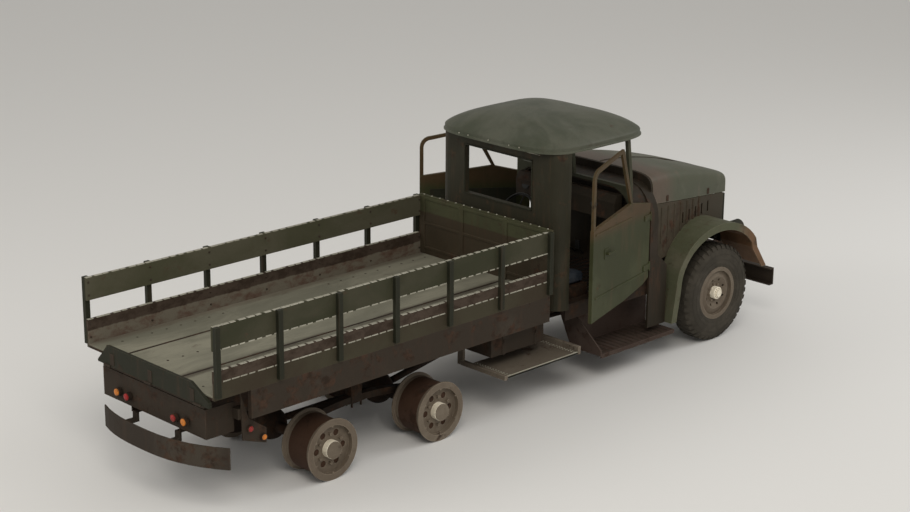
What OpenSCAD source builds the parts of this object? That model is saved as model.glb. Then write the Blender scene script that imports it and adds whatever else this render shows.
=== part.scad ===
// Six-wheel-drive military cargo truck with a stake-sided bed, a round-roofed cab and bare rear rims.
// Inside the modules, x runs forward from the rear end of the bed and z up from the ground.
// place() then moves everything so that the origin is the centre of the cargo floor's top.

/* [Cargo bed] */
// Length of one bay between two stakes
bay = 731; // [650:1:800]
// Number of bays on each side
bays = 6; // [5:1:6]
// Width over the stakes
bed_w = 2070; // [1900:10:2300]
// Height of the cargo floor's top above the ground
floor_h = 1240; // [1200:5:1300]
// Thickness of the cargo floor
floor_t = 40; // [30:1:50]
// Height of the top rail above the floor
rail_h = 660; // [550:5:760]
// Width of the top slat
slat_w = 230; // [150:5:260]
// Height of the lower side board above the floor
board_h = 240; // [180:5:300]
// Thickness of slats and boards
board_t = 28; // [20:1:34]
// Width of a stake along the bed
stake_w = 55; // [40:1:70]
// Depth of a stake across the bed
stake_d = 42; // [30:1:50]
// Height of the tailgate board
gate_h = 200; // [150:5:230]

/* [Chassis] */
// Half width over the frame rails
rail_y = 380; // [370:1:390]
// Height of a frame rail
rail_depth = 230; // [200:5:240]
// Height of the rails' top above the ground
rail_top = 930; // [925:1:935]
// Steel thickness of rails and crossmembers
steel = 10; // [8:1:14]

/* [Wheels] */
// Radius of a front tyre
tyre_r = 565; // [550:1:570]
// Width of a front tyre
tyre_w = 280; // [240:5:290]
// Radius of a bare rear rim's flange
rim_r = 311; // [300:1:320]
// Distance from the centreline to a wheel's outer face
wheel_y = 945; // [935:1:955]
// Hub of the rearmost axle, from the rear end of the bed
axle3_x = 1430; // [1400:5:1460]
// Spacing of the two rear axles
bogie = 1430; // [1380:5:1480]
// Hub of the front axle, from the rear end of the bed
axle1_x = 7290; // [7270:5:7310]
// Distance from the centreline to a kingpin
kingpin_y = 700; // [690:1:710]

/* [Cab] */
// Rear face of the cab
cab_x0 = 4600; // [4580:5:4610]
// Half width of the cab
cab_y = 905; // [900:1:915]
// Radius of the cab's rear corners
cab_r = 170; // [150:5:180]
// Height of the roof's lower edge above the ground
roof_z = 2650; // [2640:5:2680]
// Height of the roof's crown above its lower edge
crown = 268; // [240:1:290]
// Half width of the rear window
window_y = 495; // [440:5:500]

/* [Doors] */
// Door thickness
door_t = 42; // [35:1:44]
// Rear edge of a closed door
door_x0 = 4785; // [4785:1:4800]
// Front edge of a closed door
door_x1 = 6060; // [6050:1:6065]
// Angle at which the right door stands ajar
right_open = 13; // [0:1:60]
// Angle at which the left door stands open
left_open = 38; // [0:1:60]
// Height lost by the left door's bent window frame
left_sag = 190; // [0:5:220]

/* [Hood] */
// Rear edge of the hood
hood_x0 = 6225; // [6215:1:6235]
// Front edge of the hood
hood_x1 = 7950; // [7900:5:7970]
// Half width of the hood at its rear edge
hood_y0 = 800; // [760:5:820]
// Half width of the hood at its front edge
hood_y1 = 460; // [430:5:480]
// Height of the hood's top at its rear edge
hood_z0 = 2140; // [2120:5:2150]
// Height of the hood's top at its front edge
hood_z1 = 1790; // [1770:5:1820]

/* [Hidden] */
$fn = 48;
bed_l = bays * bay;
bed_y = bed_w / 2;
board_y = bed_y - stake_d;
floor_y = board_y - board_t - 2;
sill_z0 = 920;
axle2_x = axle3_x + bogie;
tyre_mid = wheel_y - tyre_w / 2;
frame_x0 = 55;
frame_x1 = 8080;
frame_z0 = rail_top - rail_depth;
hinge_x = door_x1 + 14;
hinge_y = cab_y + 5;
base_z = 935;
scuttle_x = 5800;
scuttle_y = 850;
grille_x = 7900;
lid_z0 = 1800;
lid_z1 = 1560;
arch_x = 7220;
arch_z = 800;
arch_a = 770;
arch_b = 620;
wheel_turns_x = 5330;
wheel_turns_y = 420;
wheel_turns_z = 1640;
column_tilt = 55;
olive = [0.30, 0.33, 0.22];
dark_green = [0.15, 0.19, 0.12];
rust = [0.30, 0.17, 0.11];
brown = [0.22, 0.15, 0.11];
pale = [0.52, 0.54, 0.43];
rubber = [0.20, 0.20, 0.19];
rim_grey = [0.45, 0.43, 0.39];
blue_grey = [0.14, 0.17, 0.20];

// Moves the truck's own coordinates to the origin at the cargo floor's centre.
module place() translate([-bed_l / 2, 0, -floor_h]) children();

// The children and their mirror image on the other side of the truck.
module both() {
    children();
    mirror([0, 1, 0]) children();
}

// A block between two corners.
module block(x0, x1, y0, y1, z0, z1)
    translate([x0, y0, z0]) cube([x1 - x0, y1 - y0, z1 - z0]);

// A cylinder along y between y0 and y1.
module rod_y(x, z, r, y0, y1)
    translate([x, y0, z]) rotate([-90, 0, 0]) cylinder(r = r, h = y1 - y0);

// A cylinder along x between x0 and x1.
module rod_x(y, z, r, x0, x1)
    translate([x0, y, z]) rotate([0, 90, 0]) cylinder(r = r, h = x1 - x0);

// A straight rod between two points that lie in one plane across y.
module shaft(x0, z0, x1, z1, y, r)
    translate([x0, y, z0]) rotate([0, atan2(x1 - x0, z1 - z0), 0])
        cylinder(r = r, h = norm([x1 - x0, z1 - z0]));

// A flat plate in the x-z plane, from y0 to y1.
module side_plate(points, y0, y1)
    translate([0, y1, 0]) rotate([90, 0, 0]) linear_extrude(y1 - y0) polygon(points);

// A flat plate in the y-z plane, from x0 to x1.
module cross_plate(points, x0, x1)
    translate([x0, 0, 0]) rotate([90, 0, 90]) linear_extrude(x1 - x0) polygon(points);

function arc(cx, cy, a, b, from, to, steps) =
    [for (i = [0:steps]) let(t = from + (to - from) * i / steps) [cx + a * cos(t), cy + b * sin(t)]];

function mix(a, b, t) = a + (b - a) * t;

// ---------- Chassis ----------

module rail() {
    block(frame_x0, frame_x1, rail_y - steel, rail_y, frame_z0, rail_top);
    block(frame_x0, frame_x1, rail_y - 75, rail_y, frame_z0, frame_z0 + steel);
    block(frame_x0, frame_x1, rail_y - 75, rail_y, rail_top - steel, rail_top);
}

module crossmember(x)
    difference() {
        block(x, x + 90, -rail_y + steel / 2, rail_y - steel / 2, frame_z0 + 25, rail_top - 25);
        block(x + steel, x + 91, -rail_y, rail_y, frame_z0 + 35, rail_top - 35);
    }

module chassis_frame() place() color(brown) {
    both() rail();
    for (x = [120, 1180, 2100, 3060, 4250, 5350, 7930]) crossmember(x);
}

module engine() place() color(rust) block(6600, 7560, -315, 315, rail_top, 1640);

module driveline() place() color(brown) {
    block(5700, 6590, -170, 170, 600, 900);
    block(4560, 4960, -180, 180, 480, 830);
    shaft(4950, 640, 5710, 650, 0, 38);
    shaft(axle2_x + 205, 340, 4570, 600, 0, 36);
    shaft(axle3_x + 175, 320, axle2_x - 175, 320, 0, 36);
    shaft(4950, 560, axle1_x - 165, 480, -110, 30);
}

module fuel_tank() place() color(rust) {
    block(3700, 4480, -820, -420, 640, 925);
    for (x = [3860, 4340]) block(x, x + 45, -826, -rail_y, 634, 931);
}

module exhaust() place() color(rust) {
    rod_x(560, 700, 90, 4300, 5000);
    rod_x(560, 700, 32, 4990, 5190);
    rod_x(560, 700, 32, 3500, 4310);
    for (x = [4400, 4850]) block(x, x + 30, rail_y, 640, 780, 800);
}

module front_bumper() place() color(rust) {
    block(8268, 8284, -980, 980, 462, 668);
    block(8210, 8284, -980, 980, 462, 476);
    block(8210, 8284, -980, 980, 654, 668);
    both() block(8030, 8269, 290, 370, 655, frame_z0);
    // Towing eyes, one in front of each rail
    both() difference() {
        union() {
            block(8040, 8330, 305, 335, 560, 655);
            rod_y(8330, 607.5, 47.5, 305, 335);
        }
        rod_y(8330, 607.5, 24, 300, 340);
    }
}

// Rear face of the bowed rear bumper, whose left end has broken off
function bumper_x(y) = -155 + 290 * pow(abs(y) / 1010, 2.6);

module rear_bumper() place() color(rust) {
    thick = 14;
    steps = 14;
    left_end = 660;
    right_end = -1010;
    rows = [for (i = [0:steps]) mix(left_end, right_end, i / steps)];
    translate([0, 0, 500]) linear_extrude(215) polygon(concat(
        [for (i = [0:steps]) [bumper_x(rows[i]), rows[i]]],
        [for (i = [steps:-1:0]) [bumper_x(rows[i]) + thick, rows[i]]]));
    both() {
        block(-130, frame_x0 + 30, 300, 365, 610, 640);
        block(frame_x0, frame_x0 + 30, 300, 365, 610, frame_z0);
    }
}

// The flanged rear panel that carries the lamps, and the lamp brackets ahead of it
module rear_panel() place() color(brown) {
    y = 800;
    low = 760;
    high = 1050;
    block(40, frame_x0, -y, y, low, high);
    both() block(40, 360, y - 15, y, low, high);
    both() side_plate([[365, 1150], [450, 890], [655, 745], [655, 595], [380, 690]], 890, 905);
    both() block(340, 440, y - 1, 891, 900, 1000);
}

module lamp_pair(y_red, y_amber, x, z) {
    rod_x(y_red, z, 38, x, x + 40);
    rod_x(y_amber, z + 5, 38, x, x + 40);
}

module marker_lamps() place() color("orangered") both() {
    lamp_pair(367, 523, 0, 862);
    rod_y(457, 790, 30, 905, 930);
    rod_y(612, 668, 30, 905, 930);
}

// ---------- Axles and springs ----------

// A leaf pack: a bent bar in the x-z plane whose middle is at z and whose ends are rise higher
module leaf_pack(x, z, half, rise, t, y0, y1) {
    r = (half * half + rise * rise) / (2 * abs(rise));
    up = rise > 0 ? 1 : -1;
    intersection() {
        translate([x, 0, z + up * r]) rotate([-90, 0, 0]) difference() {
            translate([0, 0, y0]) cylinder(r = r + (up > 0 ? 0 : t), h = y1 - y0, $fn = 240);
            translate([0, 0, y0 - 1]) cylinder(r = r - (up > 0 ? t : 0), h = y1 - y0 + 2, $fn = 240);
        }
        block(x - half, x + half, y0, y1, z - abs(rise) - t, z + abs(rise) + t);
    }
}

module leaf_springs() place() color(brown) both() {
    // Front pack and its two hangers
    leaf_pack(axle1_x, 587, 520, 55, 45, 290, 355);
    for (x = [axle1_x - 540, axle1_x + 480]) block(x, x + 60, 300, 345, 650, frame_z0);
    // Bogie pack and its trunnion bracket
    leaf_pack(axle3_x + bogie / 2, 475, 700, -75, 70, 395, 475);
    block(axle3_x + bogie / 2 - 70, axle3_x + bogie / 2 + 70, rail_y, 480, 470, 780);
}

module front_axle() place() color(brown) {
    rod_y(axle1_x, 545, 42, -kingpin_y + 40, kingpin_y - 40);
    both() {
        block(axle1_x - 55, axle1_x + 55, 290, 355, 540, 584);
        // Yoke that holds the kingpin
        block(axle1_x - 45, axle1_x + 45, kingpin_y - 80, kingpin_y - 52, 445, 685);
        block(axle1_x - 40, axle1_x + 40, kingpin_y - 70, kingpin_y + 30, 445, 475);
        block(axle1_x - 40, axle1_x + 40, kingpin_y - 70, kingpin_y + 30, 655, 685);
    }
    translate([axle1_x, -110, 545]) sphere(r = 135);
}

module rear_axle(x) {
    rod_y(x, rim_r, 58, -835, 835);
    translate([x, 0, rim_r]) sphere(r = 165);
    both() block(x - 60, x + 60, 395, 475, rim_r + 40, 397);
}

module rear_axles() place() color(brown) for (x = [axle3_x, axle2_x]) rear_axle(x);

module knuckle() {
    translate([axle1_x, kingpin_y, 482]) cylinder(r = 30, h = 166);
    rod_y(axle1_x, tyre_r, 34, kingpin_y, wheel_y - 86);
    block(axle1_x - 16, axle1_x + 16, kingpin_y - 10, kingpin_y + 18, 500, 520);
}

module knuckle_left() place() color(brown) knuckle();
module knuckle_right() place() color(brown) mirror([0, 1, 0]) knuckle();

// ---------- Wheels ----------

// A tyre of revolution about z, with its rounded shoulders and walls
module tyre() {
    w = tyre_w / 2;
    rotate_extrude($fn = 96) polygon(concat(
        [[290, -w + 45]],
        arc(450, -w + 75, 95, 75, 240, 270, 3),
        arc(tyre_r - 60, -w + 60, 60, 60, 270, 360, 6),
        arc(tyre_r - 60, w - 60, 60, 60, 0, 90, 6),
        arc(450, w - 75, 95, 75, 90, 120, 3),
        [[290, w - 45]]));
}

// A steel disc wheel for a tyre, with its hub, seen from its outer side towards +z
module front_rim() {
    w = tyre_w / 2;
    difference() {
        union() {
            rotate_extrude($fn = 96) polygon([
                [262, -w + 20], [308, -w + 20], [308, -w + 34], [289.7, -w + 44],
                [289.7, w - 44], [308, w - 34], [308, w - 20], [262, w - 20], [262, w - 60],
                [190, w - 35], [120, w - 70], [0, w - 70], [0, w - 84], [130, w - 84],
                [190, w - 50], [250, w - 75], [276, w - 75], [276, -w + 44]
            ]);
            translate([0, 0, w - 84]) cylinder(r = 70, h = 74);
            translate([0, 0, w - 11]) cylinder(r = 45, h = 22);
        }
        translate([0, 0, -w]) cylinder(r = 40, h = tyre_w - 84);
        for (a = [0:45:315]) rotate([0, 0, a + 20]) translate([155, 0, 0]) cylinder(r = 17, h = 200);
    }
}

// One twin rear wheel without tyres: two rims on one hub, outer side towards +z, face at z = 0
module twin_rim() {
    depth = 395;
    difference() {
        union() {
            rotate_extrude($fn = 96) polygon([
                [rim_r - 66, 0], [rim_r, 0], [rim_r, -14], [rim_r - 26, -24], [rim_r - 34, -60],
                [rim_r - 34, -depth + 60], [rim_r - 26, -depth + 24], [rim_r, -depth + 14],
                [rim_r, -depth], [rim_r - 46, -depth], [rim_r - 50, -depth + 60], [rim_r - 50, -80],
                [rim_r - 66, -60]
            ]);
            translate([0, 0, -70]) cylinder(r = rim_r - 60, h = 18);
            translate([0, 0, -70]) cylinder(r = 88, h = 96);
            translate([0, 0, -depth + 40]) cylinder(r = 185, h = depth - 109);
        }
        translate([0, 0, -depth - 1]) cylinder(r = 66, h = depth - 99);
        for (a = [0:60:300]) rotate([0, 0, a]) translate([165, 0, -71]) cylinder(r = 34, h = 20);
    }
}

module at_hub(x, z, y, side)
    translate([x, side * y, z]) rotate([-90 * side, 0, 0]) children();

module tyre_front_left() place() color(rubber) at_hub(axle1_x, tyre_r, tyre_mid, 1) tyre();
module tyre_front_right() place() color(rubber) at_hub(axle1_x, tyre_r, tyre_mid, -1) tyre();
module rim_front_left() place() color(rim_grey) at_hub(axle1_x, tyre_r, tyre_mid, 1) front_rim();
module rim_front_right() place() color(rim_grey) at_hub(axle1_x, tyre_r, tyre_mid, -1) front_rim();

module rear_wheel(x, side) place() color(rim_grey) at_hub(x, rim_r, wheel_y, side) twin_rim();

// ---------- Cargo bed ----------

// Half length of a cross beam; the rearmost one is short
function beam_y(i) = i == 0 ? 780 : board_y - 20;

module bed_frame() place() color(rust) {
    both() {
        block(60, bed_l - 60, 300, 370, rail_top, 1060);
        block(420, bed_l, board_y - 48, board_y, sill_z0, floor_h - floor_t);
    }
    for (i = [0:bays])
        block(mix(40, bed_l - 110, i / bays), mix(110, bed_l - 40, i / bays),
            -beam_y(i), beam_y(i), 1060, floor_h - floor_t);
}

module bed_floor() place() color(pale)
    block(0, bed_l, -floor_y, floor_y, floor_h - floor_t, floor_h);

module side_boards() {
    block(2, bed_l - 2, board_y - board_t, board_y, floor_h + rail_h - slat_w, floor_h + rail_h);
    block(2, bed_l - 2, board_y - board_t, board_y, floor_h - floor_t, floor_h + board_h);
}

module side_boards_left() place() color(olive) side_boards();
module side_boards_right() place() color(olive) mirror([0, 1, 0]) side_boards();

module stakes() place() color(dark_green) both() for (i = [0:bays]) {
    x = mix(0, bed_l - stake_w, i / bays);
    block(x, x + stake_w, board_y, bed_y, floor_h - 10, floor_h + rail_h);
}

module headboard() place() color(dark_green) {
    x = bed_l;
    block(x, x + board_t, -board_y, board_y, floor_h - 30, floor_h + rail_h + 10);
    for (y = [-700, 0, 700])
        block(x + board_t, x + board_t + 35, y - 30, y + 30, floor_h - 240, floor_h + rail_h);
}

// The low hinged board at the rear, with cut corners
module tailgate() place() color(dark_green)
    cross_plate([
        [-960, floor_h - 110], [760, floor_h - 110], [760, floor_h - 90], [600, floor_h + gate_h - 115],
        [-700, floor_h + gate_h - 120], [-960, floor_h - 55]
    ], -42, -8);

// ---------- Cab ----------

// Plan of the cab's rear wall with its round corners, open towards the front
function back_outline(x, y, r, front) = concat(
    [[front, -y]], arc(x + r, -y + r, r, r, 270, 180, 8),
    arc(x + r, y - r, r, r, 180, 90, 8), [[front, y]]);

module cab_floor() place() color(brown) {
    translate([0, 0, 945]) linear_extrude(25)
        polygon(back_outline(cab_x0 + 62, cab_y - 62, cab_r - 62, 6190));
    both() block(door_x0 - 10, 6190, cab_y - 63, cab_y - 49, 800, 970);
    // Box that the seat stands on
    block(4680, 5240, -740, 740, 969, 1100);
}

module cab_back() place() color(dark_green) {
    wall = 60;
    front = door_x0 - 12;
    difference() {
        translate([0, 0, base_z]) linear_extrude(roof_z - 2 - base_z) difference() {
            polygon(back_outline(cab_x0, cab_y, cab_r, front));
            polygon(back_outline(cab_x0 + wall, cab_y - wall, cab_r - wall, front + 1));
        }
        block(cab_x0 - 10, cab_x0 + wall + 20, -window_y, window_y, 1990, 2520);
    }
}

// The domed roof: rings of a rounded outline that shrink towards the crown
roof_mid = 5275;
roof_a = 835;
roof_b = 935;
roof_rings = 9;
roof_steps = 56;
function roof_point(s, t, z) =
    let(c = cos(t), n = sin(t), k = 0.46)
    [roof_mid + s * roof_a * sign(c) * pow(abs(c), k), s * roof_b * sign(n) * pow(abs(n), k), z];
function roof_rise(s) = pow(1 - pow(s, 2.6), 0.8);

module cab_roof() place() color(olive) {
    wall = 26;
    lip = 46;
    outer = [for (i = [0:roof_rings - 1]) let(s = sqrt(1 - i / roof_rings))
        [s, roof_z + lip + (crown - lip) * roof_rise(s)]];
    inner = [for (i = [roof_rings - 1:-1:0]) let(s = sqrt(1 - i / roof_rings))
        [s * (1 - wall / roof_a), roof_z + lip + (crown - lip) * roof_rise(s) - wall]];
    rings = concat([[1, roof_z]], outer, inner, [[1 - wall / roof_a, roof_z]]);
    n = roof_steps;
    top = roof_rings;
    points = [for (g = rings) for (j = [0:n - 1]) roof_point(g[0], j * 360 / n, g[1])];
    last = len(rings) - 1;
    crown_out = len(points);
    faces = concat(
        [for (g = [0:last]) if (g != top) for (j = [0:n - 1])
            let(h = g == last ? 0 : g + 1, k = (j + 1) % n)
            [g * n + j, h * n + j, h * n + k, g * n + k]],
        [for (j = [0:n - 1]) [top * n + j, crown_out, top * n + (j + 1) % n]],
        [for (j = [0:n - 1]) [(top + 1) * n + (j + 1) % n, crown_out + 1, (top + 1) * n + j]]);
    polyhedron(concat(points, [
        [roof_mid, 0, roof_z + crown], [roof_mid, 0, roof_z + crown - wall]
    ]), faces, convexity = 4);
}

// Section of the scuttle's top, from its right edge over the middle to its left edge
function scuttle(inset) = concat(
    arc(-scuttle_y + 310, 1760, 310 - inset, 290 - inset, 180, 90, 6),
    arc(scuttle_y - 310, 1760, 310 - inset, 290 - inset, 90, 0, 6));

module cowl() place() color(rust) {
    r_y = 330;
    r_z = 410;
    skin = 30;
    outer = concat([[-cab_y, base_z], [cab_y, base_z]], arc(cab_y - r_y, 1640, r_y, r_z, 0, 90, 6),
        arc(-cab_y + r_y, 1640, r_y, r_z, 90, 180, 6));
    inner = concat([[-cab_y + skin, base_z - 1], [cab_y - skin, base_z - 1]],
        arc(cab_y - r_y, 1640, r_y - skin, r_z - skin, 0, 90, 6),
        arc(-cab_y + r_y, 1640, r_y - skin, r_z - skin, 90, 180, 6));
    difference() {
        cross_plate(outer, hinge_x + 12, 6215);
        cross_plate(inner, hinge_x + 11, 6195);
    }
    // Wall that closes the hood's rear end
    cross_plate([for (p = hood_ring(0, 2)) [p[1], p[2]]], 6195, 6215);
    // Scuttle between the windshield and the hood, over the dashboard
    cross_plate(concat(scuttle(0), [for (i = [13:-1:0]) scuttle(22)[i]]), scuttle_x, hinge_x + 20);
    // Lower side panels that run on to the fenders
    both() side_plate([[hinge_x + 12, 420], [6384, 420], [6384, 1100], [6214, 1250], [6214, base_z + 1],
        [hinge_x + 12, base_z + 1]], cab_y - skin, cab_y);
}

module windshield_frame() place() color(olive) {
    lean = 70;
    depth = 40;
    sill = 2085;
    top = roof_z - 2;
    x = scuttle_x - 15;
    post = [[x, sill - 1], [x + depth, sill - 1], [x + depth - lean, top], [x - lean, top]];
    both() side_plate(post, scuttle_y - 45, scuttle_y);
    side_plate(post, -20, 20);
    block(x - lean, x - lean + depth, -scuttle_y, scuttle_y, top - 50, top);
    cross_plate(concat(scuttle(0), [[scuttle_y, sill], [-scuttle_y, sill]]), x, x + depth);
}

module dashboard() place() color(brown)
    side_plate([[5660, 1710], [5770, 1700], [5770, 1985], [5700, 1985], [5650, 1910]], -740, 740);

module seat_cushion() place() color(blue_grey) block(4690, 5250, -740, 740, 1102, 1240);
module seat_back() place() color(blue_grey)
    side_plate([[4665, 1245], [4790, 1245], [4750, 1820], [4665, 1820]], -740, 740);

// Turns x forward, y left coordinates so that z points up the steering column
module on_column()
    translate([wheel_turns_x, wheel_turns_y, wheel_turns_z]) rotate([0, -column_tilt, 0]) children();

module steering_column() place() color(brown) difference() {
    on_column() translate([0, 0, -1100]) cylinder(r = 24, h = 1065);
    block(6195, 6400, 300, 540, 900, 1200);
}

module steering_wheel() place() color([0.1, 0.1, 0.1]) on_column() {
    rotate_extrude($fn = 64) translate([215, 0]) circle(r = 14, $fn = 24);
    translate([0, 0, -30]) cylinder(r = 42, h = 40);
    for (a = [0, 120, 240]) rotate([0, 0, a]) translate([0, 0, -10]) rotate([0, 90, 0])
        cylinder(r = 8, h = 212);
}

// A closed door on the left side, in the x-z plane; sag is how much lower its window frame stands
module closed_door(sag) {
    top_r = 130;
    frame = 42;
    belt_x = hinge_x - 450;
    top_x = hinge_x - 655;
    top_z = 2605 - sag;
    rear_z = 2510 - sag;
    body = [
        [door_x0, 840], [hinge_x - 580, 900], [hinge_x - 140, 970], [door_x1, 1020],
        [door_x1, 1870], [belt_x, 1965], [door_x0, 1855]
    ];
    difference() {
        union() {
            side_plate(body, cab_y - door_t, cab_y);
            side_plate(concat([[door_x0, 1800], [belt_x, 1900], [belt_x + 30, 1960], [top_x, top_z]],
                arc(door_x0 + top_r, rear_z - top_r, top_r, top_r, 90, 180, 5)), cab_y - 34, cab_y - 4);
        }
        side_plate(concat([[door_x0 + frame, 1860], [belt_x - 15, 1966], [top_x - 38, top_z - frame]],
            arc(door_x0 + top_r, rear_z - top_r, top_r - frame, top_r - frame, 90, 180, 5)),
            cab_y - 60, cab_y + 10);
    }
    // Outside handle
    rod_y(hinge_x - 1000, 1545, 12, cab_y - 1, cab_y + 28);
    block(hinge_x - 1010, hinge_x - 850, cab_y + 24, cab_y + 36, 1534, 1556);
}

// Turns a closed door about its upright hinge line
module opened(angle)
    translate([hinge_x, hinge_y, 0]) rotate([0, 0, -angle]) translate([-hinge_x, -hinge_y, 0]) children();

module door_left() place() color(olive) opened(left_open) closed_door(left_sag);
module door_right() place() color(olive) mirror([0, 1, 0]) opened(right_open) closed_door(0);

// ---------- Hood, grille and fenders ----------

hood_stations = 12;
hood_steps = 24;
function hood_w(u) = mix(hood_y0, hood_y1, pow(u, 1.1));
function hood_top(u) = mix(hood_z0, hood_z1, pow(u, 1.7));
function lid_edge(u) = mix(lid_z0, lid_z1, u);
function hood_ring(u, t) = [for (j = [0:hood_steps])
    let(a = j * 180 / hood_steps, k = 0.3, w = hood_w(u) - t, top = hood_top(u) - t, low = lid_edge(u))
    [mix(hood_x0, hood_x1, u), w * sign(cos(a)) * pow(abs(cos(a)), k), low + (top - low) * pow(sin(a), k)]];

module hood() place() color(olive) {
    wall = 16;
    n = hood_steps + 1;
    m = hood_stations;
    rings = [for (i = [0:m]) let(u = i / m)
        concat(hood_ring(u, 0), [for (j = [hood_steps:-1:0]) hood_ring(u, wall)[j]])];
    points = [for (r = rings) for (p = r) p];
    faces = concat(
        [for (i = [0:m - 1]) for (j = [0:2 * n - 1])
            let(a = i * 2 * n, b = a + 2 * n, k = (j + 1) % (2 * n)) [a + j, b + j, b + k, a + k]],
        [for (j = [0:hood_steps - 1]) [j, j + 1, 2 * n - 2 - j, 2 * n - 1 - j]],
        [for (j = [0:hood_steps - 1]) let(b = m * 2 * n)
            [b + 2 * n - 1 - j, b + 2 * n - 2 - j, b + j + 1, b + j]]);
    polyhedron(points, faces, convexity = 6);
}

// Plan of the hood's left side between two stations, moved in by a wall thickness
plan_steps = 8;
function plan_y(x) = hood_w(max(0, (x - hood_x0) / (hood_x1 - hood_x0)));
function hood_plan(x0, x1, t) = [for (i = [0:plan_steps])
    let(x = mix(x0, x1, i / plan_steps)) [x, plan_y(x) - t]];

module hood_sides() place() color(rust) both() {
    wall = 14;
    low = 1120;
    slope = atan2(lid_z0 - lid_z1, hood_x1 - hood_x0);
    difference() {
        translate([0, 0, low]) linear_extrude(800) polygon(concat(
            hood_plan(6215, grille_x, 0), [for (i = [plan_steps:-1:0]) hood_plan(6215, grille_x, wall)[i]]));
        translate([hood_x0, 0, lid_z0 - 7]) rotate([0, slope, 0]) translate([-100, 0, 0])
            cube([2200, 1000, 400]);
        for (i = [0:4]) translate([6900 + i * 150, 300, 1420]) cube([34, 400, 130]);
    }
}

module grille() place() color(dark_green) {
    w = 425;
    wide = 465;
    shoulder = 1545;
    outer = concat([[-wide, 960], [wide, 960], [wide, shoulder], [w, shoulder]],
        arc(w - 90, 1640, 90, 110, 0, 90, 5), arc(-w + 90, 1640, 90, 110, 90, 180, 5),
        [[-w, shoulder], [-wide, shoulder]]);
    difference() {
        cross_plate(outer, grille_x, grille_x + 40);
        for (y = [-320:80:320]) block(grille_x - 1, grille_x + 41, y - 22, y + 22, 1040, 1660);
    }
}

function arch(inset) = concat(
    arc(arch_x, arch_z, arch_a - inset, arch_b - inset, 180, 32, 20));

module fender_band(inset) {
    outer = concat([[6385, 420]], arch(0), [[7905, 1010], [8085, 750]]);
    inner = concat([[8085 - inset * 0.9, 750], [7905 - inset, 1000]],
        [for (i = [20:-1:0]) arch(inset)[i]], [[6385 + inset, 420]]);
    polygon(concat(outer, inner));
}

module fenders() place() color(olive) both() difference() {
    union() {
        translate([0, 985, 0]) rotate([90, 0, 0]) linear_extrude(510) fender_band(18);
        translate([0, 1005, 0]) rotate([90, 0, 0]) linear_extrude(22) fender_band(85);
    }
    // The hood's side walls stand inside this plan
    translate([0, 0, 400]) linear_extrude(1100)
        polygon(concat([[6215, 400]], hood_plan(6215, grille_x, 0), [[grille_x, 400]]));
}

module headlamps() place() color(rim_grey) both() {
    rod_x(610, 1150, 85, 7915, 8035);
    side_plate([[7920, 989.3], [7960, 931.6], [7960, 1080], [7920, 1080]], 590, 630);
}

// ---------- Steps ----------

module running_boards() place() color(rust) both() {
    block(5220, 6445, 560, 1000, 325, 345);
    block(5220, 6445, 985, 1000, 300, 345);
    // Apron that stands on the board's inner edge
    block(5220, 6445, 560, 574, 344, 800);
    cross_plate([[1000, 325], [1000, 390], [585, 740], [400, 830], [rail_y, 830], [rail_y, 700], [560, 325]],
        5205, 5221);
    for (x = [5700, 6250]) cross_plate([[560, 326], [900, 326], [900, 305], [540, 305], [rail_y, 720],
        [rail_y, 780]], x, x + 30);
}

module side_trays() place() color(brown) both() {
    block(3660, 4790, 520, 1055, 480, 496);
    block(3640, 3680, 430, 1080, 475, 525);
    block(4770, 4812, 430, 1060, 475, 560);
    for (x = [3645, 4775]) block(x, x + 30, rail_y, 460, 476, 760);
}

chassis_frame();
engine();
driveline();
fuel_tank();
exhaust();
front_bumper();
rear_bumper();
rear_panel();
marker_lamps();
leaf_springs();
front_axle();
rear_axles();
knuckle_left();
knuckle_right();
tyre_front_left();
tyre_front_right();
rim_front_left();
rim_front_right();
rear_wheel(axle3_x, 1);  // rear_wheel_left_1
rear_wheel(axle2_x, 1);  // rear_wheel_left_2
rear_wheel(axle3_x, -1);  // rear_wheel_right_1
rear_wheel(axle2_x, -1);  // rear_wheel_right_2
bed_frame();
bed_floor();
side_boards_left();
side_boards_right();
stakes();
headboard();
tailgate();
cab_floor();
cab_back();
cab_roof();
cowl();
windshield_frame();
dashboard();
seat_cushion();
seat_back();
steering_column();
steering_wheel();
door_left();
door_right();
hood();
hood_sides();
grille();
fenders();
headlamps();
running_boards();
side_trays();
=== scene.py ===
"""The looks of a derelict six-wheel military cargo truck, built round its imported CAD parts."""

import math
import random

import bmesh
import bpy
from mathutils import Matrix, Vector, noise


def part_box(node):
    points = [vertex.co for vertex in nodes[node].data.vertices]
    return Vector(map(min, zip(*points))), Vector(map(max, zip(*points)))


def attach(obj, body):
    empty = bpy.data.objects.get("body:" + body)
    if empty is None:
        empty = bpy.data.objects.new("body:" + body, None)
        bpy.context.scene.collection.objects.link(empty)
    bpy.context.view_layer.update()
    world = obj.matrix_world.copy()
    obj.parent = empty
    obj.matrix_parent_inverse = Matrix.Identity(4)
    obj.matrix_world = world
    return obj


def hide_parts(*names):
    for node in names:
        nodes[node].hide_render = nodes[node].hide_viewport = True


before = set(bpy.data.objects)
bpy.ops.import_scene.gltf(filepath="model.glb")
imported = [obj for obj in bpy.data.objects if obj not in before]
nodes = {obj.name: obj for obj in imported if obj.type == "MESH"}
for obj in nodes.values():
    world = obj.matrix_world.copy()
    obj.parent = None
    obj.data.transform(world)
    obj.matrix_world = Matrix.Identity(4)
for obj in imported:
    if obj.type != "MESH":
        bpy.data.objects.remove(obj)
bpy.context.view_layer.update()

BED_L = 4.386
HALF_BED = BED_L / 2
FLOOR = 1.240
GROUND = -FLOOR


def P(x, y, z):
    """A point given from the bed's rear end and from the ground, in the row frame."""
    return Vector((x - HALF_BED, y, z - FLOOR))


# ---------- camera and studio ----------

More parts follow.
